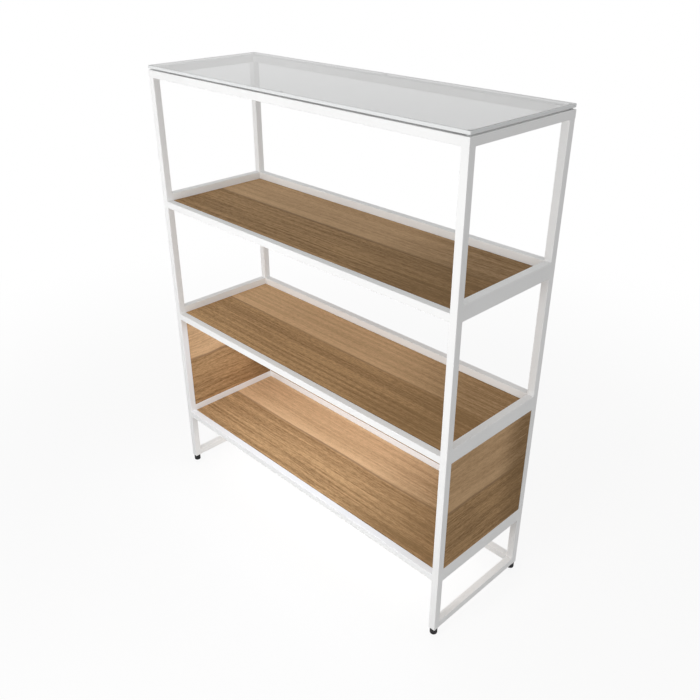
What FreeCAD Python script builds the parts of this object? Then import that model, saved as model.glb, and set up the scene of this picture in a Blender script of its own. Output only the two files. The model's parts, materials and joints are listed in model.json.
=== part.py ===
"""Open highboard: a welded frame of square steel tube that carries three wooden shelves, a closed
lower bay and a glass top, standing on four levelling feet.

Millimetres, +Z up. X runs along the width, the front faces -Y, and the origin lies on the floor
under the middle of the cabinet.
"""
import FreeCAD, Part
import math
import os
import re

import Sketcher

# Driving dimensions: name, size in millimetres, meaning
SIZES = [
    ("frame_width", 1087, "width over the posts"),
    ("frame_depth", 362.5, "depth over the posts"),
    ("frame_height", 1288, "floor to the top of the frame"),
    ("lower_level", 182, "floor to the underside of the lower rails"),
    ("tube_side", 20, "side of the square tube"),
    ("tall_rail", 40, "height of the rails that stand above a shelf as a lip"),
    ("tube_wall", 1.5, "wall of the tube"),
    ("tube_corner", 1.5, "outer corner radius of the tube"),
    ("bore_corner", 0.5, "inner corner radius of the tube"),
    ("board_thickness", 16, "shelf board"),
    ("board_gap", 1, "gap between a shelf and the rails around it"),
    ("board_drop", 0.5, "shelf surface below the front rail's top"),
    ("board_corner", 1.5, "plan radius of the boards' corners"),
    ("board_edge", 0.5, "rounding of the boards' long edges"),
    ("panel_thickness", 19, "end and back panels"),
    ("panel_gap", 0.6, "gap between a panel and the posts, and below the middle rails"),
    ("glass_thickness", 8, "glass plate"),
    ("glass_corner", 3, "plan radius of the plate's corners"),
    ("glass_arris", 0.8, "ground edge of the plate"),
    ("bumper_height", 3.5, "clear bumpers that carry the glass"),
    ("bumper_diameter", 12, "base of a bumper"),
    ("bumper_taper", 2, "how much a bumper's radius narrows towards its top"),
    ("bumper_rim", 1, "height of a bumper's straight rim"),
    ("tab_width", 30, "steel tab under a shelf, along the rail"),
    ("tab_reach", 22, "tab, out from the rail"),
    ("tab_thickness", 3, "tab plate"),
    ("tab_corner", 6, "radius of the tab's free corners"),
    ("tab_inset", 100, "outer tabs from the posts"),
    ("hole_reach", 12, "screw hole in a tab or bracket leg, from the rail or the bend"),
    ("bracket_leg", 22, "angle bracket between the middle shelf and a panel, each leg"),
    ("bracket_width", 20, "bracket, along the panel"),
    ("bracket_plate", 2, "bracket plate"),
    ("bracket_bend", 1.5, "inner radius of the bracket's bend"),
    ("end_bracket_inset", 85, "brackets of an end panel from the posts"),
    ("back_bracket_inset", 300, "brackets of the back panel from the posts"),
    ("screw_diameter", 4, "wood screw, over the thread"),
    ("screw_length", 14, "screw through a tab or bracket"),
    ("long_screw_length", 24, "screw through a lower rail into a panel"),
    ("screw_tip", 3, "screw point"),
    ("head_diameter", 8, "screw head"),
    ("head_height", 2.4, "screw head"),
    ("head_round", 1.4, "rounding of the screw head"),
    ("pilot_clearance", 0.05, "radial gap of a screw in wood"),
    ("plate_clearance", 0.25, "radial gap of a screw in steel"),
    ("pilot_spare", 0.5, "pilot hole past the screw's point"),
    ("access_diameter", 10, "driver hole in the underside of a lower rail"),
    ("panel_screw_inset", 60, "panel screws from the posts"),
    ("foot_height", 20, "floor to the posts"),
    ("foot_diameter", 20, "foot"),
    ("foot_round", 3, "rounding of the foot's lower edge"),
    ("foot_gap", 0.3, "knob below its post when screwed home"),
    ("knob_edge", 0.6, "chamfer of the knob's top edge"),
    ("glide_height", 6, "glide that stays still on the floor"),
    ("swivel_gap", 0.2, "knob above its glide, and above the glide's hub"),
    ("hub_diameter", 9, "hub of the glide in the knob"),
    ("hub_height", 4, "hub of the glide in the knob"),
    ("running_clearance", 0.05, "radial gap of the hub in the knob and of the stem in its nut"),
    ("stem_diameter", 8, "stem, over the thread"),
    ("stem_rise", 26, "stem above the knob"),
    ("stem_seat", 7, "stem inside the knob"),
    ("stem_lead", 1.2, "chamfer of the stem's top"),
    ("seat_clearance", 0.03, "radial gap of the stem in the knob"),
    ("nut_plate", 4, "plate welded into the post's end"),
    ("nut_fit", 0.1, "gap of that plate to the tube's bore"),
    ("nut_boss", 13, "diameter of the threaded boss"),
    ("nut_height", 13, "plate and boss together"),
]
VALUES = {name: size for name, size, meaning in SIZES}

# Places and lengths that follow from the sizes
BAY_WIDTH = "(frame_width - 2 * tube_side)"
BAY_DEPTH = "(frame_depth - 2 * tube_side)"
POST_X = "(frame_width - tube_side) / 2"
POST_Y = "(frame_depth - tube_side) / 2"
TOP_LEVEL = "(frame_height - tube_side)"
LEVEL_PITCH = f"({TOP_LEVEL} - lower_level) / 3"
LEVELS = {
    "lower": "lower_level",
    "middle": f"(lower_level + {LEVEL_PITCH})",
    "upper": f"(lower_level + 2 * {LEVEL_PITCH})",
}
POST_LENGTH = f"({TOP_LEVEL} - foot_height)"
BOARD_BASE = {name: f"({level} + tube_side - board_drop - board_thickness)" for name, level in LEVELS.items()}
PANEL_BASE = f"({LEVELS['lower']} + tall_rail)"
PANEL_HEIGHT = f"({LEVELS['middle']} - {PANEL_BASE} - panel_gap)"
PANEL_RECESS = "(tube_side - panel_thickness) / 2"
SCREW_HOLE = "(screw_diameter + 2 * plate_clearance)"
PILOT_HOLE = "(screw_diameter + 2 * pilot_clearance)"
KNOB_BASE = "(glide_height + swivel_gap)"
KNOB_TOP = "(foot_height - foot_gap)"
KNOB_HEIGHT = f"({KNOB_TOP} - {KNOB_BASE})"
STEM_LENGTH = "(stem_seat + stem_rise)"
NUT_SIDE = "(tube_side - 2 * tube_wall - 2 * nut_fit)"

# The frame's sides: the turn about Z that points a piece's own -Y into the bay, the side's factors
# along X and Y for the formulas, and the clear span between its posts
SIDES = {
    "front": (180, "0", "-1", BAY_WIDTH),
    "rear": (0, "0", "1", BAY_WIDTH),
    "left": (90, "-1", "0", BAY_DEPTH),
    "right": (270, "1", "0", BAY_DEPTH),
}
PANEL_SIDES = ("left", "right", "rear")
CORNERS = {
    "front_left": ("-1", "-1"),
    "front_right": ("1", "-1"),
    "rear_left": ("-1", "1"),
    "rear_right": ("1", "1"),
}

# A sketch's codes for the points of its geometry, and for its own origin
START, END, CENTRE = range(1, 4)
ORIGIN_POINT = (-START, START)
TOLERANCE = 1e-6
X_AXIS = FreeCAD.Vector(1, 0, 0)
Z_AXIS = FreeCAD.Vector(0, 0, 1)

doc = FreeCAD.newDocument("Highboard")
sheet = doc.addObject("Spreadsheet::Sheet", "Sizes")
for row, (name, size, meaning) in enumerate(SIZES, start=1):
    sheet.set(f"A{row}", meaning)
    sheet.set(f"B{row}", str(size))
    sheet.setAlias(f"B{row}", name)
doc.recompute()

nodes = []


# Formulas

def bound(formula):
    """The formula with every size's name turned into a reference to its cell."""
    return re.sub(r"[a-z_]+", lambda name: f"Sizes.{name.group()}", formula)


def number(formula):
    """The formula's value, to draw a sketch near its shape before its constraints hold it."""
    text = re.sub(r"[a-z_]+", lambda name: str(VALUES[name.group()]), formula)
    return FreeCAD.Units.parseQuantity(text).Value


def point(x, y):
    return FreeCAD.Vector(number(x), number(y), 0)


# Sketches

def new_body(label):
    body = doc.addObject("PartDesign::Body", label)
    body.Label = label
    return body


def new_sketch(body, plane, offset=None):
    """A sketch on one of the body's origin planes, or at an offset along that plane's normal."""
    sketch = body.newObject("Sketcher::SketchObject", f"{body.Label}_sketch")
    support = next(feature for feature in body.Origin.OriginFeatures if feature.Role == plane)
    sketch.AttachmentSupport = [(support, "")]
    sketch.MapMode = "FlatFace"
    if offset:
        sketch.setExpression("AttachmentOffset.Base.z", bound(offset))
    return sketch


def constrain(sketch, formula, *constraint):
    """Add a driving constraint whose value follows the formula."""
    index = sketch.addConstraint(Sketcher.Constraint(*constraint, number(formula)))
    sketch.setExpression(f"Constraints[{index}]", bound(formula))


def fix_point(sketch, geometry, which, x, y):
    constrain(sketch, x, "DistanceX", *ORIGIN_POINT, geometry, which)
    constrain(sketch, y, "DistanceY", *ORIGIN_POINT, geometry, which)


def outline(sketch, corners):
    """A closed outline through corners given as pairs of formulas."""
    first = sketch.GeometryCount
    for here, there in zip(corners, corners[1:] + corners[:1]):
        sketch.addGeometry(Part.LineSegment(point(*here), point(*there)), False)
    for index, (x, y) in enumerate(corners):
        following = first + (index + 1) % len(corners)
        sketch.addConstraint(Sketcher.Constraint("Coincident", first + index, END, following, START))
        fix_point(sketch, first + index, START, x, y)


def circle(sketch, x, y, diameter):
    index = sketch.addGeometry(Part.Circle(point(x, y), Z_AXIS, number(diameter) / 2), False)
    constrain(sketch, diameter, "Diameter", index)
    fix_point(sketch, index, CENTRE, x, y)


def rounded_rectangle(sketch, width, height, radius):
    """A rectangle about the sketch's origin, with tangent arcs at its corners."""
    first = sketch.GeometryCount
    half_width, half_height, arc = number(width) / 2, number(height) / 2, number(radius)
    flat_x, flat_y = half_width - arc, half_height - arc
    sides = [
        ((-flat_x, -half_height), (flat_x, -half_height), (flat_x, -flat_y), -90),
        ((half_width, -flat_y), (half_width, flat_y), (flat_x, flat_y), 0),
        ((flat_x, half_height), (-flat_x, half_height), (-flat_x, flat_y), 90),
        ((-half_width, flat_y), (-half_width, -flat_y), (-flat_x, -flat_y), 180),
    ]
    for start, end, centre, angle in sides:
        sketch.addGeometry(Part.LineSegment(FreeCAD.Vector(*start, 0), FreeCAD.Vector(*end, 0)), False)
        corner = Part.Circle(FreeCAD.Vector(*centre, 0), Z_AXIS, arc)
        quarter = Part.ArcOfCircle(corner, math.radians(angle), math.radians(angle + 90))
        sketch.addGeometry(quarter, False)
    pieces = list(range(first, sketch.GeometryCount))
    lines, arcs = pieces[0::2], pieces[1::2]
    bottom, right, top, left = lines
    for line, corner, following in zip(lines, arcs, lines[1:] + lines[:1]):
        sketch.addConstraint(Sketcher.Constraint("Tangent", line, END, corner, START))
        sketch.addConstraint(Sketcher.Constraint("Tangent", corner, END, following, START))
        sketch.addConstraint(Sketcher.Constraint("Horizontal" if line in (bottom, top) else "Vertical", line))
    first_arc, second_arc, opposite_arc, last_arc = arcs
    for corner in (second_arc, opposite_arc, last_arc):
        sketch.addConstraint(Sketcher.Constraint("Equal", first_arc, corner))
    opposite = (first_arc, CENTRE, opposite_arc, CENTRE)
    sketch.addConstraint(Sketcher.Constraint("Symmetric", *opposite, *ORIGIN_POINT))
    constrain(sketch, radius, "Radius", first_arc)
    constrain(sketch, width, "DistanceX", left, START, right, START)
    constrain(sketch, height, "DistanceY", bottom, START, top, START)


# Features

def pad(body, sketch, length, midplane=False):
    feature = body.newObject("PartDesign::Pad", f"{body.Label}_pad")
    feature.Profile = sketch
    feature.setExpression("Length", bound(length))
    feature.Midplane = midplane


def pocket(body, sketch, length, forward=False, midplane=False):
    """Cut against the sketch's normal, or along it where forward is set."""
    doc.recompute()
    before = body.Shape.Volume
    feature = body.newObject("PartDesign::Pocket", f"{body.Label}_pocket")
    feature.Profile = sketch
    feature.setExpression("Length", bound(length))
    feature.Reversed = forward
    feature.Midplane = midplane
    doc.recompute()
    if not body.Shape.Volume < before:
        raise RuntimeError(f"{feature.Label} cuts nothing")


def revolve(body, sketch):
    """Turn the sketch once about its vertical axis."""
    feature = body.newObject("PartDesign::Revolution", f"{body.Label}_turn")
    feature.Profile = sketch
    feature.ReferenceAxis = (sketch, ["V_Axis"])
    feature.Angle = 360


def dress(body, kind, size_name, formula, wanted):
    """Fillet or chamfer the edges of the body that the test wanted picks."""
    doc.recompute()
    base = body.Tip
    names = [f"Edge{index}" for index, edge in enumerate(base.Shape.Edges, start=1) if wanted(edge.BoundBox)]
    if not names:
        raise RuntimeError(f"{body.Label} has no edge to dress")
    feature = body.newObject(f"PartDesign::{kind}", f"{body.Label}_{kind.lower()}")
    feature.Base = (base, names)
    feature.setExpression(size_name, bound(formula))


def fillet(body, radius, wanted):
    dress(body, "Fillet", "Radius", radius, wanted)


def chamfer(body, size, wanted):
    dress(body, "Chamfer", "Size", size, wanted)


def is_level(box):
    return box.ZLength < TOLERANCE


def place(item, x, y, z, turn=0, tilt=0):
    """Put a piece where the sheet says, tilted about X and then turned about Z."""
    rotation = FreeCAD.Rotation(Z_AXIS, turn) * FreeCAD.Rotation(X_AXIS, tilt)
    item.Placement = FreeCAD.Placement(FreeCAD.Vector(), rotation)
    for axis, formula in zip("xyz", (x, y, z)):
        item.setExpression(f"Placement.Base.{axis}", bound(formula))


def keep(item, *placing):
    """Place a piece and count it among the sub-parts."""
    place(item, *placing)
    nodes.append(item)


def group(label, places):
    """One sub-part of several alike solids: links to a master body, each at its own place."""
    links = []
    for master, *placing in places:
        link = doc.addObject("App::Link", f"{label}_item")
        link.LinkedObject = master
        place(link, *placing)
        links.append(link)
    compound = doc.addObject("Part::Compound", label)
    compound.Label = label
    compound.Links = links
    nodes.append(compound)


# Places on the frame

def at_corner(corner):
    sign_x, sign_y = CORNERS[corner]
    return f"{sign_x} * {POST_X}", f"{sign_y} * {POST_Y}"


def in_bay(side, along, inward):
    """A point by its place along a side and its distance in from that side's rails."""
    turn, sign_x, sign_y, span = SIDES[side]
    x = along if sign_x == "0" else f"{sign_x} * ({BAY_WIDTH} / 2 - {inward})"
    y = along if sign_y == "0" else f"{sign_y} * ({BAY_DEPTH} / 2 - {inward})"
    return x, y


def pair_along(side, inset):
    """Two places along a side, each at an inset from its post."""
    reach = f"({SIDES[side][3]} / 2 - {inset})"
    return [f"-1 * {reach}", reach]


def tab_places():
    """Side and place along it of each tab under a shelf."""
    places = [("left", "0"), ("right", "0")]
    for side in ("front", "rear"):
        places += [(side, along) for along in pair_along(side, "tab_inset") + ["0"]]
    return places


def brackets_along(side):
    return pair_along(side, "back_bracket_inset" if side == "rear" else "end_bracket_inset")


def panel_screws_along(side):
    middle = ["0"] if side == "rear" else []
    return pair_along(side, "panel_screw_inset") + middle


def bracket_places():
    return [(side, along) for side in PANEL_SIDES for along in brackets_along(side)]


def panel_screw_places():
    return [(side, along) for side in PANEL_SIDES for along in panel_screws_along(side)]


# Frame of square tube

def tube(body, plane, width, height, length):
    """A tube's section with its rounded corners and bore, padded both ways from the plane."""
    section = new_sketch(body, plane)
    rounded_rectangle(section, width, height, "tube_corner")
    rounded_rectangle(section, f"({width} - 2 * tube_wall)", f"({height} - 2 * tube_wall)", "bore_corner")
    pad(body, section, length, midplane=True)


def make_post(corner):
    body = new_body(f"post_{corner}")
    tube(body, "XY_Plane", "tube_side", "tube_side", POST_LENGTH)
    keep(body, *at_corner(corner), f"foot_height + {POST_LENGTH} / 2")


def make_rail(label, side, level, height, length=None):
    """A rail along its own X, with the bay on its -Y side. It butts between the posts."""
    turn, sign_x, sign_y, span = SIDES[side]
    body = new_body(label)
    tube(body, "YZ_Plane", "tube_side", height, length or span)
    keep(body, f"{sign_x} * {POST_X}", f"{sign_y} * {POST_Y}", f"{level} + {height} / 2", turn)
    return body


def make_top_rail(side):
    """A rail of the mitred ring that closes the posts' tops."""
    span = SIDES[side][3]
    full = f"({span} + 2 * tube_side)"
    body = make_rail(f"top_rail_{side}", side, TOP_LEVEL, "tube_side", full)
    mitres = new_sketch(body, "XY_Plane")
    for sign in (-1, 1):
        tip, heel = f"{sign} * {full} / 2", f"{sign} * {span} / 2"
        outline(mitres, [(tip, "tube_side / 2"), (tip, "-1 * tube_side / 2"), (heel, "-1 * tube_side / 2")])
    pocket(body, mitres, "2 * tube_side", midplane=True)


def drill_lower_rail(body, side):
    """Holes for a panel's screws: the driver's through the underside, the screw's through the top."""
    for diameter, upward in (("access_diameter", False), (SCREW_HOLE, True)):
        holes = new_sketch(body, "XY_Plane")
        for along in panel_screws_along(side):
            circle(holes, along, "0", diameter)
        pocket(body, holes, "tall_rail", forward=upward)


def make_frame():
    for corner in CORNERS:
        make_post(corner)
    for side in SIDES:
        make_top_rail(side)
        for name, level in LEVELS.items():
            height = "tube_side" if side == "front" else "tall_rail"
            rail = make_rail(f"{name}_rail_{side}", side, level, height)
            if name == "lower" and side in PANEL_SIDES:
                drill_lower_rail(rail, side)
    for side in PANEL_SIDES:
        make_rail(f"base_rail_{side}", side, "foot_height", "tube_side")


# Wooden boards

def pilot_holes(body, holes, places, depth, forward=False):
    for x, y in places:
        circle(holes, x, y, PILOT_HOLE)
    pocket(body, holes, f"{depth} + pilot_spare", forward=forward)


def make_shelf(name):
    """A board that drops into its ring of rails, with pilot holes in its underside."""
    body = new_body(f"{name}_shelf")
    sketch = new_sketch(body, "XY_Plane")
    width, depth = f"({BAY_WIDTH} - 2 * board_gap)", f"({BAY_DEPTH} - 2 * board_gap)"
    rounded_rectangle(sketch, width, depth, "board_corner")
    pad(body, sketch, "board_thickness")
    fillet(body, "board_edge", is_level)
    drilled = [(tab_places(), "tab_thickness")]
    if name == "middle":
        drilled.append((bracket_places(), "bracket_plate"))
    for places, plate in drilled:
        holes = [in_bay(side, along, "hole_reach") for side, along in places]
        pilot_holes(body, new_sketch(body, "XY_Plane"), holes, f"screw_length - {plate}", forward=True)
    keep(body, "0", "0", BOARD_BASE[name])


def make_panel(label, side):
    """A board that stands on a lower rail between two posts, its own -Y face towards the bay."""
    turn, sign_x, sign_y, span = SIDES[side]
    body = new_body(label)
    sketch = new_sketch(body, "XY_Plane")
    rounded_rectangle(sketch, f"({span} - 2 * panel_gap)", "panel_thickness", "board_corner")
    pad(body, sketch, PANEL_HEIGHT)
    fillet(body, "board_edge", is_level)
    base_holes = [(along, "0") for along in panel_screws_along(side)]
    pilot_holes(body, new_sketch(body, "XY_Plane"), base_holes, "long_screw_length - tube_wall", forward=True)
    screw_line = f"({BOARD_BASE['middle']} - hole_reach - {PANEL_BASE})"
    face_holes = [(along, screw_line) for along in brackets_along(side)]
    inner_face = new_sketch(body, "XZ_Plane", "panel_thickness / 2")
    pilot_holes(body, inner_face, face_holes, f"screw_length - bracket_plate - {PANEL_RECESS}")
    keep(body, f"{sign_x} * {POST_X}", f"{sign_y} * {POST_Y}", PANEL_BASE, turn)


# Fixings

def make_tab():
    """A plate whose straight edge is welded to a rail, reaching along -Y under a shelf."""
    body = new_body("shelf_tab")
    sketch = new_sketch(body, "XY_Plane")
    left, right, far = "-1 * tab_width / 2", "tab_width / 2", "-1 * tab_reach"
    outline(sketch, [(left, "0"), (left, far), (right, far), (right, "0")])
    pad(body, sketch, "tab_thickness")
    fillet(body, "tab_corner", lambda box: box.XLength < TOLERANCE and box.YMax < -number("hole_reach"))
    hole = new_sketch(body, "XY_Plane")
    circle(hole, "0", "-1 * hole_reach", SCREW_HOLE)
    pocket(body, hole, "tab_thickness", forward=True)
    return body


def make_bracket():
    """A bent plate: one leg lies under the shelf, the other hangs in front of the panel."""
    body = new_body("panel_bracket")
    section = new_sketch(body, "YZ_Plane")
    leg, plate = "-1 * bracket_leg", "-1 * bracket_plate"
    outline(section, [("0", "0"), (leg, "0"), (leg, plate), (plate, plate), (plate, leg), ("0", leg)])
    pad(body, section, "bracket_width", midplane=True)
    inner = -number("bracket_plate")
    fillet(body, "bracket_bend", lambda box: abs(box.YMax - inner) + abs(box.ZMin - inner) < TOLERANCE
           and box.YLength + box.ZLength < TOLERANCE)
    fillet(body, "bracket_bend + bracket_plate", lambda box: abs(box.YMin) + abs(box.ZMin) < TOLERANCE
           and box.YLength + box.ZLength < TOLERANCE)
    for plane, forward in (("XY_Plane", False), ("XZ_Plane", True)):
        hole = new_sketch(body, plane)
        circle(hole, "0", "-1 * hole_reach", SCREW_HOLE)
        pocket(body, hole, "bracket_plate", forward=forward)
    return body


def make_screw(label, length):
    """A pan-head screw that points along +Z, with its head's bearing face at zero."""
    body = new_body(label)
    section = new_sketch(body, "XZ_Plane")
    shank, head = "screw_diameter / 2", "head_diameter / 2"
    outline(section, [
        ("0", "-1 * head_height"),
        (head, "-1 * head_height"),
        (head, "0"),
        (shank, "0"),
        (shank, f"{length} - screw_tip"),
        ("0", length),
    ])
    revolve(body, section)
    fillet(body, "head_round", lambda box: box.ZMax < -number("head_height") + TOLERANCE)
    return body


def make_bumper():
    """A clear tapered bumper that stands on the top ring."""
    body = new_body("bumper")
    section = new_sketch(body, "XZ_Plane")
    outline(section, [
        ("0", "0"),
        ("bumper_diameter / 2", "0"),
        ("bumper_diameter / 2", "bumper_rim"),
        ("bumper_diameter / 2 - bumper_taper", "bumper_height"),
        ("0", "bumper_height"),
    ])
    revolve(body, section)
    return body


def along_sides(master, places, inward, level, tilt=0):
    """The master at each place, turned with the side that it belongs to."""
    return [(master, *in_bay(side, along, inward), level, SIDES[side][0], tilt) for side, along in places]


def make_fixings():
    tab, bracket = make_tab(), make_bracket()
    screw = make_screw("short_screw", "screw_length")
    long_screw = make_screw("long_screw", "long_screw_length")
    for name, shelf_face in BOARD_BASE.items():
        under = f"{shelf_face} - tab_thickness"
        group(f"{name}_shelf_tabs", along_sides(tab, tab_places(), "0", under))
        group(f"{name}_shelf_screws", along_sides(screw, tab_places(), "hole_reach", under))
    shelf_face = BOARD_BASE["middle"]
    group("panel_brackets", along_sides(bracket, bracket_places(), "0", shelf_face))
    upward = along_sides(screw, bracket_places(), "hole_reach", f"{shelf_face} - bracket_plate")
    outward = along_sides(screw, bracket_places(), "bracket_plate", f"{shelf_face} - hole_reach", -90)
    group("bracket_screws", upward + outward)
    rail_wall = f"{PANEL_BASE} - tube_wall"
    rail_middle = "(-1 * tube_side / 2)"
    group("panel_base_screws", along_sides(long_screw, panel_screw_places(), rail_middle, rail_wall))


# Glass top

def make_glass():
    body = new_body("glass_top")
    sketch = new_sketch(body, "XY_Plane")
    rounded_rectangle(sketch, "frame_width", "frame_depth", "glass_corner")
    pad(body, sketch, "glass_thickness")
    chamfer(body, "glass_arris", is_level)
    keep(body, "0", "0", "frame_height + bumper_height")
    bumper = make_bumper()
    places = [at_corner(corner) for corner in CORNERS] + [("0", f"{sign} * {POST_Y}") for sign in (-1, 1)]
    group("glass_bumpers", [(bumper, x, y, "frame_height") for x, y in places])


# Levelling feet

def make_nut(corner):
    """A plate with a threaded boss, welded into the end of a post."""
    body = new_body(f"foot_nut_{corner}")
    plate = new_sketch(body, "XY_Plane")
    rounded_rectangle(plate, NUT_SIDE, NUT_SIDE, "bore_corner")
    pad(body, plate, "nut_plate")
    boss = new_sketch(body, "XY_Plane")
    circle(boss, "0", "0", "nut_boss")
    pad(body, boss, "nut_height")
    thread = new_sketch(body, "XY_Plane")
    circle(thread, "0", "0", "(stem_diameter + 2 * running_clearance)")
    pocket(body, thread, "nut_height", forward=True)
    keep(body, *at_corner(corner), "foot_height")


def make_stem(corner):
    body = new_body(f"foot_stem_{corner}")
    section = new_sketch(body, "XZ_Plane")
    radius = "stem_diameter / 2"
    outline(section, [
        ("0", "0"),
        (radius, "0"),
        (radius, f"{STEM_LENGTH} - stem_lead"),
        (f"{radius} - stem_lead", STEM_LENGTH),
        ("0", STEM_LENGTH),
    ])
    revolve(body, section)
    keep(body, *at_corner(corner), f"{KNOB_TOP} - stem_seat")


def make_knob(corner):
    """The part of the foot that is turned by hand: it holds the stem and rides on the glide's hub."""
    body = new_body(f"foot_knob_{corner}")
    section = new_sketch(body, "XZ_Plane")
    radius = "foot_diameter / 2"
    socket = "(hub_diameter / 2 + running_clearance)"
    bore = "(stem_diameter / 2 + seat_clearance)"
    outline(section, [
        (socket, "0"),
        (radius, "0"),
        (radius, f"{KNOB_HEIGHT} - knob_edge"),
        (f"{radius} - knob_edge", KNOB_HEIGHT),
        (bore, KNOB_HEIGHT),
        (bore, f"{KNOB_HEIGHT} - stem_seat"),
        ("0", f"{KNOB_HEIGHT} - stem_seat"),
        ("0", "hub_height"),
        (socket, "hub_height"),
    ])
    revolve(body, section)
    keep(body, *at_corner(corner), KNOB_BASE)


def make_glide(corner):
    """The foot's lower part, which stays still on the floor while the knob turns on its hub."""
    body = new_body(f"foot_glide_{corner}")
    section = new_sketch(body, "XZ_Plane")
    hub, hub_top = "hub_diameter / 2", "glide_height + hub_height"
    outline(section, [
        ("0", "0"),
        ("foot_diameter / 2", "0"),
        ("foot_diameter / 2", "glide_height"),
        (hub, "glide_height"),
        (hub, hub_top),
        ("0", hub_top),
    ])
    revolve(body, section)
    fillet(body, "foot_round", lambda box: box.ZMax < TOLERANCE)
    keep(body, *at_corner(corner), "0")


make_frame()
for name in LEVELS:
    make_shelf(name)
make_panel("left_end_panel", "left")
make_panel("right_end_panel", "right")
make_panel("back_panel", "rear")
make_fixings()
make_glass()
for corner in CORNERS:
    make_nut(corner)
    make_stem(corner)
    make_knob(corner)
    make_glide(corner)
doc.recompute()

for item in doc.Objects:
    if "Invalid" in item.State or "Error" in item.State:
        raise RuntimeError(f"{item.Label} failed: {item.State}")
for node in nodes:
    if node.Shape.isNull() or not node.Shape.isValid() or not node.Shape.Solids:
        raise RuntimeError(f"{node.Label} has no valid solid")

os.makedirs("parts", exist_ok=True)
for node in nodes:
    node.Shape.exportStep(f"parts/{node.Label}.step")
print(f"{len(nodes)} sub-parts, {sum(len(node.Shape.Solids) for node in nodes)} solids")
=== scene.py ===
# %% [markdown]
# # An open highboard, dressed for a studio picture
#
# The cabinet is a welded frame of white square tube with three wooden shelves, a lower bay that is
# closed at its ends and back, a glass top and four black levelling feet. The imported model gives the
# exact shapes. Here they get their finishes, and the small forms that a maker would look for: welds,
# screw recesses, threads and the grip on the feet.

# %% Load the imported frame
import json
import math

import bpy
import numpy as np
from mathutils import Matrix, Vector


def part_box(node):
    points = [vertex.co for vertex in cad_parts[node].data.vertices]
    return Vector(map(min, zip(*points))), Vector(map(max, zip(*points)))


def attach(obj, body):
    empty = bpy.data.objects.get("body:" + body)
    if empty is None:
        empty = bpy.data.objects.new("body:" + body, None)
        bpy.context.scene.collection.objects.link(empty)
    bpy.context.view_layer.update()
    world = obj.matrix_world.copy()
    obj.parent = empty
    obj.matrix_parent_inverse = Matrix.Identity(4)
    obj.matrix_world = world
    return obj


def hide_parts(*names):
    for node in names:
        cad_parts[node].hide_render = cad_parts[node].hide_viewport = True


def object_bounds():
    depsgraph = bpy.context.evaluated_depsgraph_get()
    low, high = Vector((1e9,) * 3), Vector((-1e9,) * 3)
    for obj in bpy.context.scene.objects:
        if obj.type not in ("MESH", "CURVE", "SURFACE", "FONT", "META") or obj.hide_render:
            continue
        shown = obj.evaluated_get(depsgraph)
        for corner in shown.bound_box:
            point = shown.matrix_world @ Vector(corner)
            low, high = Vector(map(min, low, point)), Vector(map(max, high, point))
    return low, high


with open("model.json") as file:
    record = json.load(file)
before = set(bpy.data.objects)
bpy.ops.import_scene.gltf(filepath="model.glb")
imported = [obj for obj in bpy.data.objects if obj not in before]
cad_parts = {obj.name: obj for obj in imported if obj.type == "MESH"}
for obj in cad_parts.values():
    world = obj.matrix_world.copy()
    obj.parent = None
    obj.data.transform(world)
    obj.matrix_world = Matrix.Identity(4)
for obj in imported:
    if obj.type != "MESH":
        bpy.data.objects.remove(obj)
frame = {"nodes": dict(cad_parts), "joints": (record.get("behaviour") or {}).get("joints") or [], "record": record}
CAD_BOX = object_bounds()
MM = 0.001
print("the CAD box in metres:", [[round(value, 4) for value in corner] for corner in CAD_BOX])

# %% [markdown]
# ## Camera
#
# The picture was taken from above the right front corner. A pinhole camera fitted to the picture's
# edges gave a 40 mm lens on a 36 mm sensor, held level from side to side. The camera's place and its
# two directions are enough to build its matrix, and no tracking constraint is needed.

# %% Camera
CAMERA_PLACE = Vector((1.4072, -1.3377, 1.6217))
CAMERA_FORWARD = Vector((-0.6267, 0.6167, -0.4764)).normalized()
FOCAL_LENGTH = 40.0
SENSOR_WIDTH = 36.0
FAR_CLIP = 200.0
CABINET_MIDDLE = (Vector(CAD_BOX[0]) + Vector(CAD_BOX[1])) / 2

lens = bpy.data.cameras.new("camera")
lens.lens = FOCAL_LENGTH
lens.sensor_width = SENSOR_WIDTH
lens.clip_end = FAR_CLIP
camera = bpy.data.objects.new("camera", lens)
bpy.context.scene.collection.objects.link(camera)
camera_right = CAMERA_FORWARD.cross(Vector((0, 0, 1))).normalized()
camera_up = camera_right.cross(CAMERA_FORWARD)
turn = Matrix((camera_right, camera_up, -CAMERA_FORWARD)).transposed()
camera.matrix_world = Matrix.Translation(CAMERA_PLACE) @ turn.to_4x4()
bpy.context.scene.camera = camera
print("camera", round((CAMERA_PLACE - CABINET_MIDDLE).length, 2), "m from the cabinet's middle")

# %% [markdown]
# ## Shader sums
#
# A finish is a small network of nodes. Written out node by node it is long and hard to read, so a
# socket is wrapped in a class whose operators add Math nodes. Then `1 - mask * 0.5` reads as what it
# does. Every other node comes from one method: its settings are set first, then its sockets get
# their numbers or links.

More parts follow.
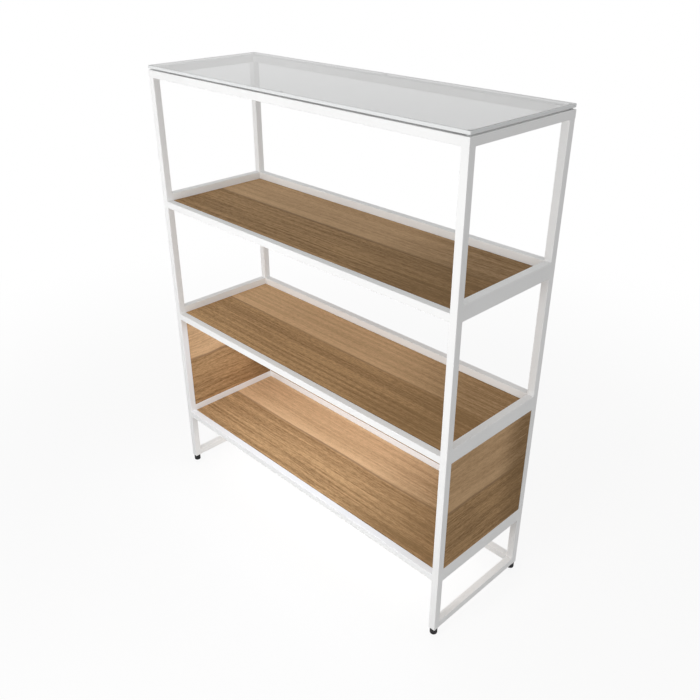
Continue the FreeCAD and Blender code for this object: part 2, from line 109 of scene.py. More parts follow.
# %% Socket class
class Socket:
    """An output of a node, or an empty start of a tree, that can be used in sums."""

    def __init__(self, tree, output=None):
        self.tree = tree
        self.output = output

    def node(self, kind, settings=None, inputs=None, out=0):
        """Add a node: settings are its own properties, inputs the values or links of its sockets."""
        made = self.tree.nodes.new(kind)
        for name, value in (settings or {}).items():
            setattr(made, name, value)
        for name, value in (inputs or {}).items():
            if isinstance(value, Socket):
                self.tree.links.new(value.output, made.inputs[name])
            else:
                made.inputs[name].default_value = value
        return Socket(self.tree, made.outputs[out])

    def math(self, operation, first, second=0.0):
        return self.node("ShaderNodeMath", {"operation": operation}, {0: first, 1: second})

    def __add__(self, other):
        return self.math("ADD", self, other)

    __radd__ = __add__

    def __sub__(self, other):
        return self.math("SUBTRACT", self, other)

    def __rsub__(self, other):
        return self.math("SUBTRACT", other, self)

    def __mul__(self, other):
        return self.math("MULTIPLY", self, other)

    __rmul__ = __mul__

    def __abs__(self):
        return self.math("ABSOLUTE", self)

    def ramp(self, start, end, low=0.0, high=1.0):
        """Smooth step from low to high while the value goes from start to end."""
        settings = {"interpolation_type": "SMOOTHSTEP"}
        values = {"Value": self, "From Min": start, "From Max": end, "To Min": low, "To Max": high}
        return self.node("ShaderNodeMapRange", settings, values)

    def mix(self, first, second):
        """Colour between first and second, with this value as the share of the second."""
        inputs = {"Factor": self, 6: first, 7: second}
        return self.node("ShaderNodeMix", {"data_type": "RGBA"}, inputs, out=2)

    def noise(self, detail=2.0, roughness=0.5, scale=1.0):
        """Noise from 0 to 1 at these coordinates."""
        inputs = {"Vector": self, "Scale": scale, "Detail": detail, "Roughness": roughness}
        return self.node("ShaderNodeTexNoise", {}, inputs)

    def stretched(self, scale, place=(0.0, 0.0, 0.0), turned=(0.0, 0.0, 0.0)):
        """Coordinates turned, scaled and moved by a Mapping node."""
        inputs = {"Vector": self, "Scale": scale, "Location": place, "Rotation": turned}
        return self.node("ShaderNodeMapping", {}, inputs)


def new_finish(name):
    """A material with one Principled shader: returns it, the shader and the Object coordinates."""
    material = bpy.data.materials.new(name)
    material.use_nodes = True
    tree = material.node_tree
    shader = tree.nodes["Principled BSDF"]
    place = Socket(tree).node("ShaderNodeTexCoord", out="Object")
    return material, shader, place


def feed(shader, **sockets):
    """Link or set the shader's inputs; underscores stand for spaces in their names."""
    for name, value in sockets.items():
        entry = shader.inputs[name.replace("_", " ")]
        if isinstance(value, Socket):
            value.tree.links.new(value.output, entry)
        else:
            entry.default_value = value


def bump(height, distance):
    """A normal for the shader: height is 0 to 1, and distance is what 1 stands for in metres."""
    return height.node("ShaderNodeBump", {}, {"Height": height, "Distance": distance})


# %% [markdown]
# ## Studio
#
# The picture has a pure white ground. The floor is a large plane. To the camera it is mostly glowing
# white and a little a lit surface, so that it is white but keeps the cabinet's shadow, and further out
# it is all white. To the light it is a plain pale floor. The feet can be screwed out while the frame
# stays where it is, so the floor lies as deep as they reach, a centimetre down.
#
# The world shows white to the camera and in reflections, and lights the object with a lower, even
# level. Soft boxes do the rest. The key faces the open front at about the upper shelf's height, so
# that it only grazes this shelf. The fill evens out the left side. A weak strip looks down into the
# lower bays, and a tall one looks across at the inner faces on the left. None of them stands further
# right than the cabinet, because the picture shows its right end in shade.
#
# The picture also shows the closed bay as the lightest one, and the rails by the floor as white. No
# lamp in front reaches these without bleaching the front, so two flat panels lie out of sight under
# the middle and the lower shelf. The one in the closed bay is a little blue, because the wood round
# it warms its light.

# %% Studio
FLOOR_SIZE = 80.0
FLOOR_HEIGHT = -max(joint["range_m"][1] for joint in frame["joints"] if joint["type"] == "slide")
FLOOR_TO_CAMERA = (0.95, 0.95, 0.95, 1)
FLOOR_TO_LIGHT = (0.55, 0.55, 0.55, 1)
GLOW_SHARE = 0.86
SHADOW_NEAR, SHADOW_FAR = 0.9, 2.6
AMBIENT = 0.65
WHITE = (1, 1, 1, 1)
PLAIN, COOL = (1.0, 1.0, 1.0), (0.7, 0.83, 1.0)
OPEN_BEAM = 180.0
# Each soft box: place, target, width and height, all in metres; power, beam in degrees, and colour
SOFT_BOXES = {
    "key": ((0.45, -1.7, 0.97), (0.45, 0.0, 1.1), (0.5, 0.5), 12.4, OPEN_BEAM, PLAIN),
    "fill": ((-0.75, -1.7, 1.1), (-0.6, 0.0, 1.3), (0.5, 0.5), 1.0, 75.0, PLAIN),
    "low_bays": ((0.0, -1.15, 1.3), (0.0, 0.0, 0.02), (1.0, 0.3), 0.26, 36.0, PLAIN),
    "left_inside": ((0.5, -1.1, 0.8), (-0.53, 0.0, 0.7), (0.2, 1.0), 0.15, 50.0, PLAIN),
    "lower_bay": ((-0.04, -0.02, 0.53), (-0.04, -0.02, 0.2), (0.95, 0.24), 1.42, OPEN_BEAM, COOL),
    "base": ((0.0, 0.0, 0.165), (0.0, 0.0, 0.0), (0.95, 0.28), 1.0, OPEN_BEAM, PLAIN),
}


def seen_directly(tree):
    """1 for rays from the camera and for those that a reflection or glass sends on from it."""
    start = Socket(tree)
    path = start.node("ShaderNodeLightPath", out="Is Camera Ray")
    outputs = path.output.node.outputs
    glossy = Socket(tree, outputs["Is Glossy Ray"])
    through = Socket(tree, outputs["Is Transmission Ray"])
    return start.math("MAXIMUM", path, start.math("MAXIMUM", glossy, through))


def make_floor():
    """A plane that glows white to the camera, less near the cabinet, and is pale paper to the light."""
    half = FLOOR_SIZE / 2
    corners = [(x * half, y * half, FLOOR_HEIGHT) for x, y in ((-1, -1), (1, -1), (1, 1), (-1, 1))]
    mesh = bpy.data.meshes.new("floor")
    mesh.from_pydata(corners, [], [(0, 1, 2, 3)])
    floor = bpy.data.objects.new("floor", mesh)
    bpy.context.scene.collection.objects.link(floor)
    material = bpy.data.materials.new("floor_paper")
    material.use_nodes = True
    tree = material.node_tree
    tree.nodes.remove(tree.nodes["Principled BSDF"])
    start = Socket(tree)
    seen = seen_directly(tree)
    place = start.node("ShaderNodeTexCoord", out="Object")
    reach = start.node("ShaderNodeVectorMath", {"operation": "LENGTH"}, {0: place}, out="Value")
    glow_share = seen * reach.ramp(SHADOW_NEAR, SHADOW_FAR, GLOW_SHARE, 1.0)
    lit = start.node("ShaderNodeBsdfDiffuse", {}, {"Color": seen.mix(FLOOR_TO_LIGHT, FLOOR_TO_CAMERA)})
    glow = start.node("ShaderNodeEmission", {}, {"Color": WHITE, "Strength": 1.0})
    mixed = start.node("ShaderNodeMixShader", {}, {0: glow_share, 1: lit, 2: glow})
    tree.links.new(mixed.output, tree.nodes["Material Output"].inputs["Surface"])
    mesh.materials.append(material)


def make_world():
    """White where it is seen, and the ambient level where it lights."""
    world = bpy.data.worlds.new("studio")
    world.use_nodes = True
    bpy.context.scene.world = world
    tree = world.node_tree
    background = tree.nodes["Background"]
    background.inputs["Color"].default_value = WHITE
    level = seen_directly(tree).ramp(0.0, 1.0, AMBIENT, 1.0)
    tree.links.new(level.output, background.inputs["Strength"])


def add_soft_box(name, place, target, size, power, beam, colour):
    """A soft box, size wide and high, that looks from place to target; a grid narrows its beam."""
    lamp = bpy.data.lights.new(name, "AREA")
    lamp.shape = "RECTANGLE"
    lamp.size, lamp.size_y = size
    lamp.energy = power
    lamp.color = colour
    lamp.spread = math.radians(beam)
    box = bpy.data.objects.new(name, lamp)
    box.location = place
    box.rotation_euler = (Vector(target) - Vector(place)).to_track_quat("-Z", "Y").to_euler()
    box.visible_camera = False
    bpy.context.scene.collection.objects.link(box)


make_floor()
make_world()
for name, settings in SOFT_BOXES.items():
    add_soft_box(name, *settings)
bpy.context.scene.view_settings.view_transform = "Standard"
print(len(SOFT_BOXES), "soft boxes, and a floor at", round(FLOOR_HEIGHT, 3), "m")

# %% [markdown]
# ## White powder coat
#
# Powder paint is sprayed on dry and melted in an oven. It flows into a slightly uneven skin, the
# "orange peel", with bumps a millimetre or two across, and it has a satin gloss. Two noises make the
# skin's height, and a slow one changes the gloss a little from place to place.

# %% Powder coat
PAINT_WHITE = (0.9, 0.9, 0.895, 1)
PAINT_SHADE = (0.885, 0.885, 0.88, 1)
GRIT_SHARE, PEEL_DEPTH = 0.2, 0.04 * MM


def make_powder_coat():
    material, shader, place = new_finish("white_powder_coat")
    peel = place.noise(scale=620.0, detail=1.0)
    grit = place.noise(scale=2600.0, detail=1.0)
    cloud = place.noise(scale=9.0, detail=2.0)
    feed(
        shader,
        Base_Color=cloud.ramp(0.35, 0.65).mix(PAINT_WHITE, PAINT_SHADE),
        Roughness=cloud.ramp(0.3, 0.7, 0.36, 0.46),
        Normal=bump(peel + grit * GRIT_SHARE, PEEL_DEPTH),
        Specular_IOR_Level=0.2,
    )
    return material


# %% [markdown]
# ## Wood
#
# Each board shows two planks side by side: a paler one, then a thin dark line, then a browner one
# with stripes along the grain. Towards one end both grow darker and more streaked. Wood has detail at
# several widths at once, so the pattern is built from noises that are stretched along the grain: wide
# bands, stripes, thin streaks, flecks of a few millimetres, fibres under a millimetre, and short dark
# pores. The large features use shares of the board, 0 to 1 along and across the grain, so that they fit
# every board. The fine ones use metres. One slow noise makes the grain sway, and the large features
# follow it. A photograph of wood could be wrapped round the boards instead, but it would repeat.

# %% Wood
WOOD = {
    "pale": (0.757, 0.5, 0.282),
    "pale_rim": (0.79, 0.528, 0.297),
    "pale_streak": (0.44, 0.27, 0.134),
    "brown": (0.62, 0.39, 0.194),
    "brown_streak": (0.26, 0.151, 0.067),
    "pore": (0.242, 0.141, 0.0663),
    "joint_line": (0.35, 0.222, 0.126),
    "end_shade": (0.253, 0.152, 0.0674),
}
JOINT_SHARE = 0.542
SWAY = 0.07
# How much each width of detail darkens the wood, and what share of it the pale plank shows
BAND_WEIGHT, STRIPE_WEIGHT, STREAK_WEIGHT, FLECK_WEIGHT = 0.05, 0.38, 0.22, 0.42
PALE_SHARE, RIM_SHARE = 0.75, 0.4
FIBRE_SHARE, PORE_SHARE = 0.2, 0.5
FIBRE_HEIGHT, STREAK_HEIGHT, GRAIN_DEPTH = 0.35, 0.2, 0.06 * MM
QUARTER = math.pi / 2
# How a board lies: the axes along and across its grain, and the turn that brings them to X and Y
LAID = {
    "lying": (0, 1, (0.0, 0.0, 0.0)),
    "end": (1, 2, (-QUARTER, -QUARTER, 0.0)),
    "back": (0, 2, (-QUARTER, 0.0, 0.0)),
}


def axis_parts(vector):
    """The three numbers of a vector as sockets."""
    outputs = vector.node("ShaderNodeSeparateXYZ", {}, {"Vector": vector}).output.node.outputs
    return [Socket(vector.tree, output) for output in outputs]


def make_wood(node, laid, painted_light, drift):
    """A wood finish for one board. The third argument scales its colours. It is painted light and shade, which
    make the board lighter or darker by how much light falls on it. Drift moves its noises, so that no two
    boards are alike. Each detail is a smooth step of a noise, and their weighted sum is the tone."""
    material, shader, place = new_finish(f"wood_{node}")
    # Painted light and shade: every wood colour is scaled by how much light this board is made to seem to get
    hue = {name: tuple(painted_light * part for part in colour) + (1,) for name, colour in WOOD.items()}
    along, across, turned = LAID[laid]
    low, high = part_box(node)
    length, width = high[along] - low[along], high[across] - low[across]
    grain = place.stretched((1, 1, 1), turned=turned)
    start = (-low[along] / length, -low[across] / width, drift)
    board = grain.stretched((1 / length, 1 / width, 1), place=start)
    sway = board.stretched((1.7, 2.2, 1.0)).noise(detail=2.0)
    share_along, share_across, depth = axis_parts(board)
    bent_across = share_across + (sway - 0.5) * SWAY
    bent = place.node("ShaderNodeCombineXYZ", {}, {"X": share_along, "Y": bent_across, "Z": depth})
    bands = bent.stretched((0.9, 9.0, 1.0)).noise(detail=2.0)
    stripes = bent.stretched((1.5, 34.0, 1.0)).noise(detail=3.0, roughness=0.55)
    streaks = bent.stretched((4.0, 90.0, 1.0)).noise(detail=3.0, roughness=0.6)
    flecks = grain.stretched((60.0, 330.0, 300.0)).noise(detail=3.0, roughness=0.65)
    fibres = grain.stretched((22.0, 1500.0, 400.0)).noise()
    dashes = grain.stretched((60.0, 1500.0, 700.0)).noise(detail=1.0)
    pores = dashes.ramp(0.6, 0.74)
    tone = bands.ramp(0.4, 0.6) * BAND_WEIGHT + stripes.ramp(0.42, 0.6) * STRIPE_WEIGHT
    tone = tone + streaks.ramp(0.42, 0.6) * STREAK_WEIGHT + flecks.ramp(0.4, 0.62) * FLECK_WEIGHT
    from_joint = bent_across - JOINT_SHARE
    rim = from_joint.ramp(0.0, 0.02) * from_joint.ramp(0.03, 0.14, 1.0, 0.0)
    streaked = (tone * PALE_SHARE).mix(hue["pale"], hue["pale_streak"])
    pale = (rim * RIM_SHARE).mix(streaked, hue["pale_rim"])
    planks = from_joint.ramp(-0.008, 0.01).mix(tone.mix(hue["brown"], hue["brown_streak"]), pale)
    line = abs(from_joint + 0.008).ramp(0.004, 0.018, 1.0, 0.0) * stripes.ramp(0.35, 0.6, 0.3, 0.85)
    shade = (share_along + (sway - 0.5) * 0.2).ramp(0.58, 0.93) * (0.5 + tone * 0.5)
    lined = line.mix(planks, hue["joint_line"])
    shaded = shade.mix(lined, hue["end_shade"])
    darker = fibres.ramp(0.35, 0.75) * FIBRE_SHARE + pores * PORE_SHARE
    fine = darker.mix(shaded, hue["pore"])
    feed(
        shader,
        Base_Color=fine,
        Roughness=fibres.ramp(0.3, 0.7, 0.58, 0.68),
        Normal=bump(fibres * FIBRE_HEIGHT + streaks * STREAK_HEIGHT - pores, GRAIN_DEPTH),
        Specular_IOR_Level=0.04,
    )
    return material


# %% [markdown]
# ## Glass, clear bumpers, black plastic and zinc
#
# The plate is clear float glass with a grey body, and its edges are ground to a pale satin. They could
# be two materials, but a plate of one piece is easier to keep whole: the distance from its middle
# height tells an edge from a face, and mixes two shaders. The bumpers are a soft frosted plastic. The
# feet are moulded black plastic with a fine spark-eroded grain, and the screws, brackets and stems are
# zinc plated, a grey metal with a faint cloudy bloom.

# %% Clear, black and metal finishes
GLASS_TINT = (0.46, 0.463, 0.463, 1)
GROUND_EDGE = (0.8, 0.81, 0.81, 1)
GROUND_EDGE_SHADE = (0.73, 0.745, 0.745, 1)
BUMPER_TINT = (0.88, 0.89, 0.89, 1)
BLACK = (0.008, 0.008, 0.0085, 1)
BLACK_WORN = (0.015, 0.015, 0.016, 1)
ZINC = (0.64, 0.65, 0.67, 1)
ZINC_BLOOM = (0.5, 0.5, 0.5, 1)
SPARK_DEPTH, MARK_DEPTH = 0.03 * MM, 0.01 * MM
EDGE_STARTS, EDGE_ENDS = 0.1 * MM, 0.3 * MM


def make_glass():
    """Clear faces and ground edges in one mix, by how far a point is from the plate's middle height."""
    material, clear, place = new_finish("clear_glass")
    tree = place.tree
    low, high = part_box("glass_top")
    half = (high[2] - low[2]) / 2
    from_middle = abs(axis_parts(place)[2] - (low[2] + half))
    edge = from_middle.ramp(half - EDGE_ENDS, half - EDGE_STARTS, 1.0, 0.0)
    haze = place.noise(scale=14.0)
    feed(
        clear,
        Base_Color=GLASS_TINT,
        Transmission_Weight=1.0,
        IOR=1.52,
        Roughness=haze.ramp(0.4, 0.8, 0.0, 0.02),
    )
    ground = tree.nodes.new("ShaderNodeBsdfPrincipled")
    frost = place.noise(scale=1800.0, detail=3.0)
    feed(
        ground,
        Base_Color=frost.ramp(0.3, 0.7).mix(GROUND_EDGE, GROUND_EDGE_SHADE),
        Roughness=frost.ramp(0.3, 0.7, 0.45, 0.6),
    )
    faces, edges = (Socket(tree, shader.outputs["BSDF"]) for shader in (clear, ground))
    mixed = edge.node("ShaderNodeMixShader", {}, {0: edge, 1: faces, 2: edges})
    tree.links.new(mixed.output, tree.nodes["Material Output"].inputs["Surface"])
    return material


def make_clear_bumper():
    material, shader, place = new_finish("clear_bumper")
    haze = place.noise(scale=900.0, detail=2.0)
    feed(
        shader,
        Base_Color=BUMPER_TINT,
        Transmission_Weight=0.3,
        IOR=1.48,
        Roughness=haze.ramp(0.3, 0.7, 0.35, 0.5),
    )
    return material


def make_black_plastic():
    material, shader, place = new_finish("black_plastic")
    grain = place.noise(scale=4200.0, detail=2.0)
    worn = place.noise(scale=160.0, detail=3.0)
    feed(
        shader,
        Base_Color=worn.ramp(0.5, 0.75).mix(BLACK, BLACK_WORN),
        Roughness=worn.ramp(0.3, 0.7, 0.42, 0.58),
        Normal=bump(grain, SPARK_DEPTH),
        Specular_IOR_Level=0.3,
    )
    return material


def make_zinc():
    material, shader, place = new_finish("zinc_steel")
    bloom = place.noise(scale=240.0, detail=4.0)
    marks = place.stretched((300.0, 300.0, 4000.0)).noise(detail=2.0)
    feed(
        shader,
        Base_Color=bloom.ramp(0.4, 0.7).mix(ZINC, ZINC_BLOOM),
        Metallic=1.0,
        Roughness=bloom.ramp(0.3, 0.7, 0.28, 0.42),
        Normal=bump(marks, MARK_DEPTH),
    )
    return material


# %% [markdown]
# ## Finishes on the imported pieces
#
# The imported record says which finish each piece has. Only the boards need more than that: the grain
# follows each board, and each board's wood carries painted light and shade, lighter or darker by how much
# light falls on it.

# %% Finishes on the imported pieces
# How each board lies, and its painted light and shade: the share that makes its wood lighter or darker for its
# light
BOARDS = {
    "lower_shelf": ("lying", 1.04),
    "middle_shelf": ("lying", 1.12),
    "upper_shelf": ("lying", 0.9),
    "left_end_panel": ("end", 1.0),
    "right_end_panel": ("end", 0.88),
    "back_panel": ("back", 1.04),
}
FIRST_DRIFT, DRIFT_STEP = 0.2, 1.7
FINISHES = {
    "white_powder_coat": make_powder_coat(),
    "glass": make_glass(),
    "clear_bumper": make_clear_bumper(),
    "black_plastic": make_black_plastic(),
    "zinc_steel": make_zinc(),
}


def paint(node, material):
    materials = frame["nodes"][node].data.materials
    materials.clear()
    materials.append(material)


for row in frame["record"]["subparts"]:
    if row["material_slot"] in FINISHES:
        paint(row["node"], FINISHES[row["material_slot"]])
# Each board's wood is scaled by its painted light and shade
for index, (node, (laid, painted_light)) in enumerate(BOARDS.items()):
    paint(node, make_wood(node, laid, painted_light, FIRST_DRIFT + DRIFT_STEP * index))
print(len(frame["nodes"]), "packed pieces have their finishes")

# %% [markdown]
# ## Surfaces from rings of points
#
# The small forms below could be modelled by hand with extrusions, or cut with booleans. Here each one
# is a grid of points worked out by a formula, because a formula keeps its measures readable and gives
# clean quads. A grid is a stack of rings. Neighbouring rings are joined by quads, and the stack either
# closes on itself or ends in two poles.

# %% Ring surfaces
SMOOTH_BELOW = math.radians(40.0)


def ring_surface(rings, poles=None):
    """Points, quads and triangles of a stack of rings, an array of rings x points x 3.

    Quad (i, j) joins points j and j + 1 of ring i to the same points of ring i + 1. With poles, the
    first and the last ring are closed by triangles to one point each. Without, the last ring is joined
    to the first one. Rings run anticlockwise, seen against the way that the stack goes.
    """
    count, around = rings.shape[:2]
    index = np.arange(count * around).reshape(count, around)
    lower, upper = index, np.roll(index, -1, axis=0)
    points = rings.reshape(-1, 3)
    triangles = np.zeros((0, 3), int)
    if poles is not None:
        lower, upper = index[:-1], index[1:]
        ends = np.full(around, len(points))
        first, last = index[0], index[-1]
        triangles = np.concatenate([
            np.stack([ends, np.roll(first, -1), first], axis=1),
            np.stack([ends + 1, last, np.roll(last, -1)], axis=1),
        ])
        points = np.concatenate([points, poles])
    quads = np.stack([lower, np.roll(lower, -1, axis=1), np.roll(upper, -1, axis=1), upper], axis=-1)
    return points, quads.reshape(-1, 4), triangles


def add_piece(name, surfaces, body, slot, replaced=()):
    """One object from several ring surfaces, on a body and with a slot's finish."""
    starts = np.cumsum([0] + [len(points) for points, quads, triangles in surfaces])
    points = np.concatenate([surface[0] for surface in surfaces]) * MM
    quads = np.concatenate([surface[1] + start for surface, start in zip(surfaces, starts)])
    triangles = np.concatenate([surface[2] + start for surface, start in zip(surfaces, starts)])
    mesh = bpy.data.meshes.new(name)
    mesh.from_pydata(points.tolist(), [], quads.tolist() + triangles.tolist())
    mesh.polygons.foreach_set("use_smooth", np.ones(len(mesh.polygons), bool))
    mesh.set_sharp_from_angle(angle=SMOOTH_BELOW)
    mesh.materials.append(FINISHES[slot])
    piece = bpy.data.objects.new(name, mesh)
    bpy.context.scene.collection.objects.link(piece)
    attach(piece, body)
    if replaced:
        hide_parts(*replaced)
    print(name, "has", 2 * len(quads) + len(triangles), "triangles")


# %% [markdown]
# ## Welds between the tubes
#
# Each rail is cut square and welded to the flat of a post. The posts have rounded edges, so a groove is
# left on both flush sides. The welder fills it and grinds it level. In the inner corners, above and
# below a rail, a small hollow fillet stays. One closed collar makes both: its section follows the
# rail's outline, and along the rail it runs from the bottom of the groove to the fillet's toe. Where a
# wooden panel stands against a rail, that side has no fillet.

# %% Weld collars
TUBE_ROUND = 1.5
FILLET_LEG = 2.0
GROOVE_DEPTH = 1.6
COLLAR_SUNK = 0.04
COLLAR_WALL = 0.7
LAID_BY_HAND = 0.12
SECTION_STEP = 1.6
ARC_POINTS = 4
FILLET_POINTS = 7


def rounded_outline(half):
    """Points and outward normals round a rectangle with rounded corners, anticlockwise from +x.

    A corner is its circle's middle plus the radius along the normal. The straight side to the next
    corner is divided evenly and keeps the normal of its ends.
    """
    half = np.array(half)
    signs = np.array([(1, 1), (-1, 1), (-1, -1), (1, -1)])
    turn = np.linspace(0, QUARTER, ARC_POINTS) + QUARTER * np.arange(4)[:, None]
    normals = np.stack([np.cos(turn), np.sin(turn)], axis=-1)
    arcs = ((half - TUBE_ROUND) * signs)[:, None] + TUBE_ROUND * normals
    outline, outward = [], []
    for corner in range(4):
        start, end = arcs[corner, -1], arcs[(corner + 1) % 4, 0]
        steps = int(np.linalg.norm(end - start) / SECTION_STEP)
        share = (np.arange(1, steps) / steps)[:, None]
        outline += [arcs[corner], start + (end - start) * share]
        outward += [normals[corner], np.repeat(normals[corner, -1:], steps - 1, axis=0)]
    return np.concatenate(outline), np.concatenate(outward)


def weld_collar(place, along, side, half, filleted):
    """A closed collar round a tube's end, which lies at place; the tube runs on along.

    The profile is a quarter of a hollow circle, (leg - leg cos t, leg - leg sin t), with the groove's
    bottom before it and a way back inside the tube's wall. It rises in the filleted directions only,
    by the normal's share of each, so that it fades out round the corner to a flush side.
    """
    along, side, filleted = (np.array(values, float) for values in (along, side, filleted))
    up = np.cross(along, side)
    outline, normal = rounded_outline(half)
    lift = np.maximum(normal @ filleted.T, 0) @ filleted
    turn = np.linspace(0, 2 * math.pi, len(outline), endpoint=False)
    lift *= 1 + LAID_BY_HAND * (np.sin(5 * turn) * np.sin(3 * turn + 1))[:, None]
    arc = np.linspace(0, QUARTER, FILLET_POINTS)
    reach = np.concatenate([[-GROOVE_DEPTH], FILLET_LEG * (1 - np.cos(arc)), [FILLET_LEG, -GROOVE_DEPTH]])
    rise = np.concatenate([[FILLET_LEG], FILLET_LEG * (1 - np.sin(arc)), [0, 0]])
    depth = np.concatenate([np.full(FILLET_POINTS + 1, COLLAR_SUNK), [COLLAR_WALL, COLLAR_WALL]])
    flat = outline + rise[:, None, None] * lift - depth[:, None, None] * normal
    rings = np.array(place) + reach[:, None, None] * along
    rings = rings + flat[..., :1] * side + flat[..., 1:] * up
    return ring_surface(rings)


# Which sides of a rail have a fillet, as heights in its section: above, below
ABOVE, BELOW = (0, 1), (0, -1)
LEVELS = ("lower", "middle", "upper")
RAIL_FILLETS = {
    f"{level}_rail_{side}": [ABOVE, BELOW]
    for level in LEVELS
    for side in ("front", "rear", "left", "right")
}
for side in ("rear", "left", "right"):
    RAIL_FILLETS[f"lower_rail_{side}"] = [BELOW]
    RAIL_FILLETS[f"middle_rail_{side}"] = [ABOVE]
    RAIL_FILLETS[f"base_rail_{side}"] = [ABOVE]
CORNERS = {
    "front_left": (-1, -1),
    "front_right": (1, -1),
    "rear_left": (-1, 1),
    "rear_right": (1, 1),
}


def measures(node):
    """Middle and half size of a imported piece, in millimetres."""
    low, high = (np.array(corner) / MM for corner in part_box(node))
    return (low + high) / 2, (high - low) / 2


collars = []
for rail, filleted in RAIL_FILLETS.items():
    middle, half = measures(rail)
    long_axis = int(np.argmax(half))
    for end in (-1, 1):
        along = np.zeros(3)
        along[long_axis] = -end
        place = middle - along * half
        side = np.cross((0, 0, 1), along)
        collars.append(weld_collar(place, along, side, (half[1 - long_axis], half[2]), filleted))
for corner, (x, y) in CORNERS.items():
    middle, half = measures(f"post_{corner}")
    place = middle + np.array([0, 0, half[2]])
    collars.append(weld_collar(place, (0, 0, -1), (1, 0, 0), half[:2], [(-x, 0), (0, y)]))
add_piece("weld_collars", collars, "frame", "white_powder_coat")

# %% [markdown]
# ## Welds under the shelves
#
# Every shelf lies on small steel tabs. A tab's underside meets the rounded lower edge of its rail, and
# a short bead fills that groove. A bead is a row of ellipses that swell from nothing, stay even with
# a slight ripple, and shrink to nothing again.

# %% Tab welds
def inner_face(rail, axis):
    """How far a rail's inner face is from the cabinet's middle."""
    middle, half = measures(rail)
    return abs(middle[axis]) - half[axis]


def underside(node):
    """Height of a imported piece's lowest face, in millimetres."""
    middle, half = measures(node)
    return middle[2] - half[2]


BAY_HALF = np.array([inner_face("middle_rail_left", 0), inner_face("middle_rail_front", 1)])
TAB_PLATE = 3.0
TAB_INSET = 100.0
BEAD_LENGTH = 26.0
BEAD_HALF = (2.2, 1.2)
BEAD_RISE = 0.4
RIPPLE_LENGTH, RIPPLE_HEIGHT = 2.4, 0.07
BEAD_RINGS, BEAD_AROUND = 45, 12
# Outward direction of each side of the bay in plan
OUTWARD = {"front": (0, -1), "rear": (0, 1), "left": (-1, 0), "right": (1, 0)}


def bay_places(rows, inward, height):
    """Places along the bay's sides, inward from them, with the outward direction of each."""
    places = []
    for side, offsets in rows.items():
        outward = np.array(OUTWARD[side] + (0,), float)
        along = np.cross((0, 0, 1), outward)
        reach = abs(outward[:2]) @ BAY_HALF - inward
        places += [(outward * reach + along * offset + (0, 0, height), outward) for offset in offsets]
    return places


def bead(place, outward):
    """A bead along a rail: ellipses whose size is the fourth root of 1 - t^8, rippled a little."""
    along = np.cross((0, 0, 1), outward)
    share = np.linspace(-1, 1, BEAD_RINGS + 2)[1:-1]
    ripple = 1 + RIPPLE_HEIGHT * np.sin(share * math.pi * BEAD_LENGTH / RIPPLE_LENGTH)
    size = (1 - share**8) ** 0.25 * ripple
    angle = np.linspace(0, 2 * math.pi, BEAD_AROUND, endpoint=False)
    side = np.cross((0, 0, 1), along)
    oval = np.cos(angle)[:, None] * BEAD_HALF[0] * side + np.sin(angle)[:, None] * (0, 0, BEAD_HALF[1])
    line = place + (share * BEAD_LENGTH / 2)[:, None] * along
    poles = place + np.array([[-0.5], [0.5]]) * BEAD_LENGTH * along
    return ring_surface(line[:, None] + size[:, None, None] * oval, poles)


board_base = {level: underside(f"{level}_shelf") for level in LEVELS}
long_row = (TAB_INSET - BAY_HALF[0], 0, BAY_HALF[0] - TAB_INSET)
TAB_ROWS = {"front": long_row, "rear": long_row, "left": (0,), "right": (0,)}
beads = []
for level in LEVELS:
    height = board_base[level] - TAB_PLATE + BEAD_RISE
    beads += [bead(place, outward) for place, outward in bay_places(TAB_ROWS, 0, height)]
add_piece("tab_welds", beads, "frame", "white_powder_coat")
print("half of the bay in plan:", BAY_HALF.round(2), "mm")

# %% [markdown]
# ## Screws
#
# Pan-head wood screws hold the boards to the tabs and brackets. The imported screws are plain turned
# shapes. These have the cross recess for the driver and the thread. Each one is a single stack of
# rings, from the middle of the recess over the head and down the thread to the point. The cross is cut
# by lowering the head's face where one of the two plane coordinates is small.

# %% Screws
HEAD_RADIUS, HEAD_HEIGHT, HEAD_ROUND = 4.0, 2.4, 1.4
SHANK_RADIUS, ROOT_RADIUS, THREAD_PITCH = 1.98, 1.4, 1.8
SCREW_LENGTH, POINT_LENGTH = 14.0, 3.0
CROSS_REACH, CROSS_HALF, CROSS_DEPTH, CROSS_SLOPE = 2.3, 0.5, 1.5, 0.15
RIDGE_SHARE, BLUNT_SHARE = 0.22, 0.05
FACE_RINGS, EDGE_RINGS, SHANK_RINGS, SCREW_AROUND = 12, 4, 56, 40
RING_INSET = 0.2
HOLE_REACH = 12.0
BRACKET_PLATE = 2.0
END_BRACKET_INSET, BACK_BRACKET_INSET = 85.0, 300.0


def screw_profile():
    """Radius and height of the rings: face, rounded edge, bearing face, then the shank."""
    arc = np.linspace(0, QUARTER, EDGE_RINGS + 1)[1:]
    face = np.linspace(RING_INSET, HEAD_RADIUS - HEAD_ROUND, FACE_RINGS)
    edge = HEAD_RADIUS - HEAD_ROUND + HEAD_ROUND * np.sin(arc)
    shank = np.linspace(RING_INSET, SCREW_LENGTH - RING_INSET, SHANK_RINGS)
    radius = np.concatenate([face, edge, [HEAD_RADIUS, SHANK_RADIUS], np.full(len(shank), SHANK_RADIUS)])
    top = np.full(len(face), -HEAD_HEIGHT)
    height = np.concatenate([top, HEAD_ROUND * (1 - np.cos(arc)) - HEAD_HEIGHT, [0, 0], shank])
    return radius, height


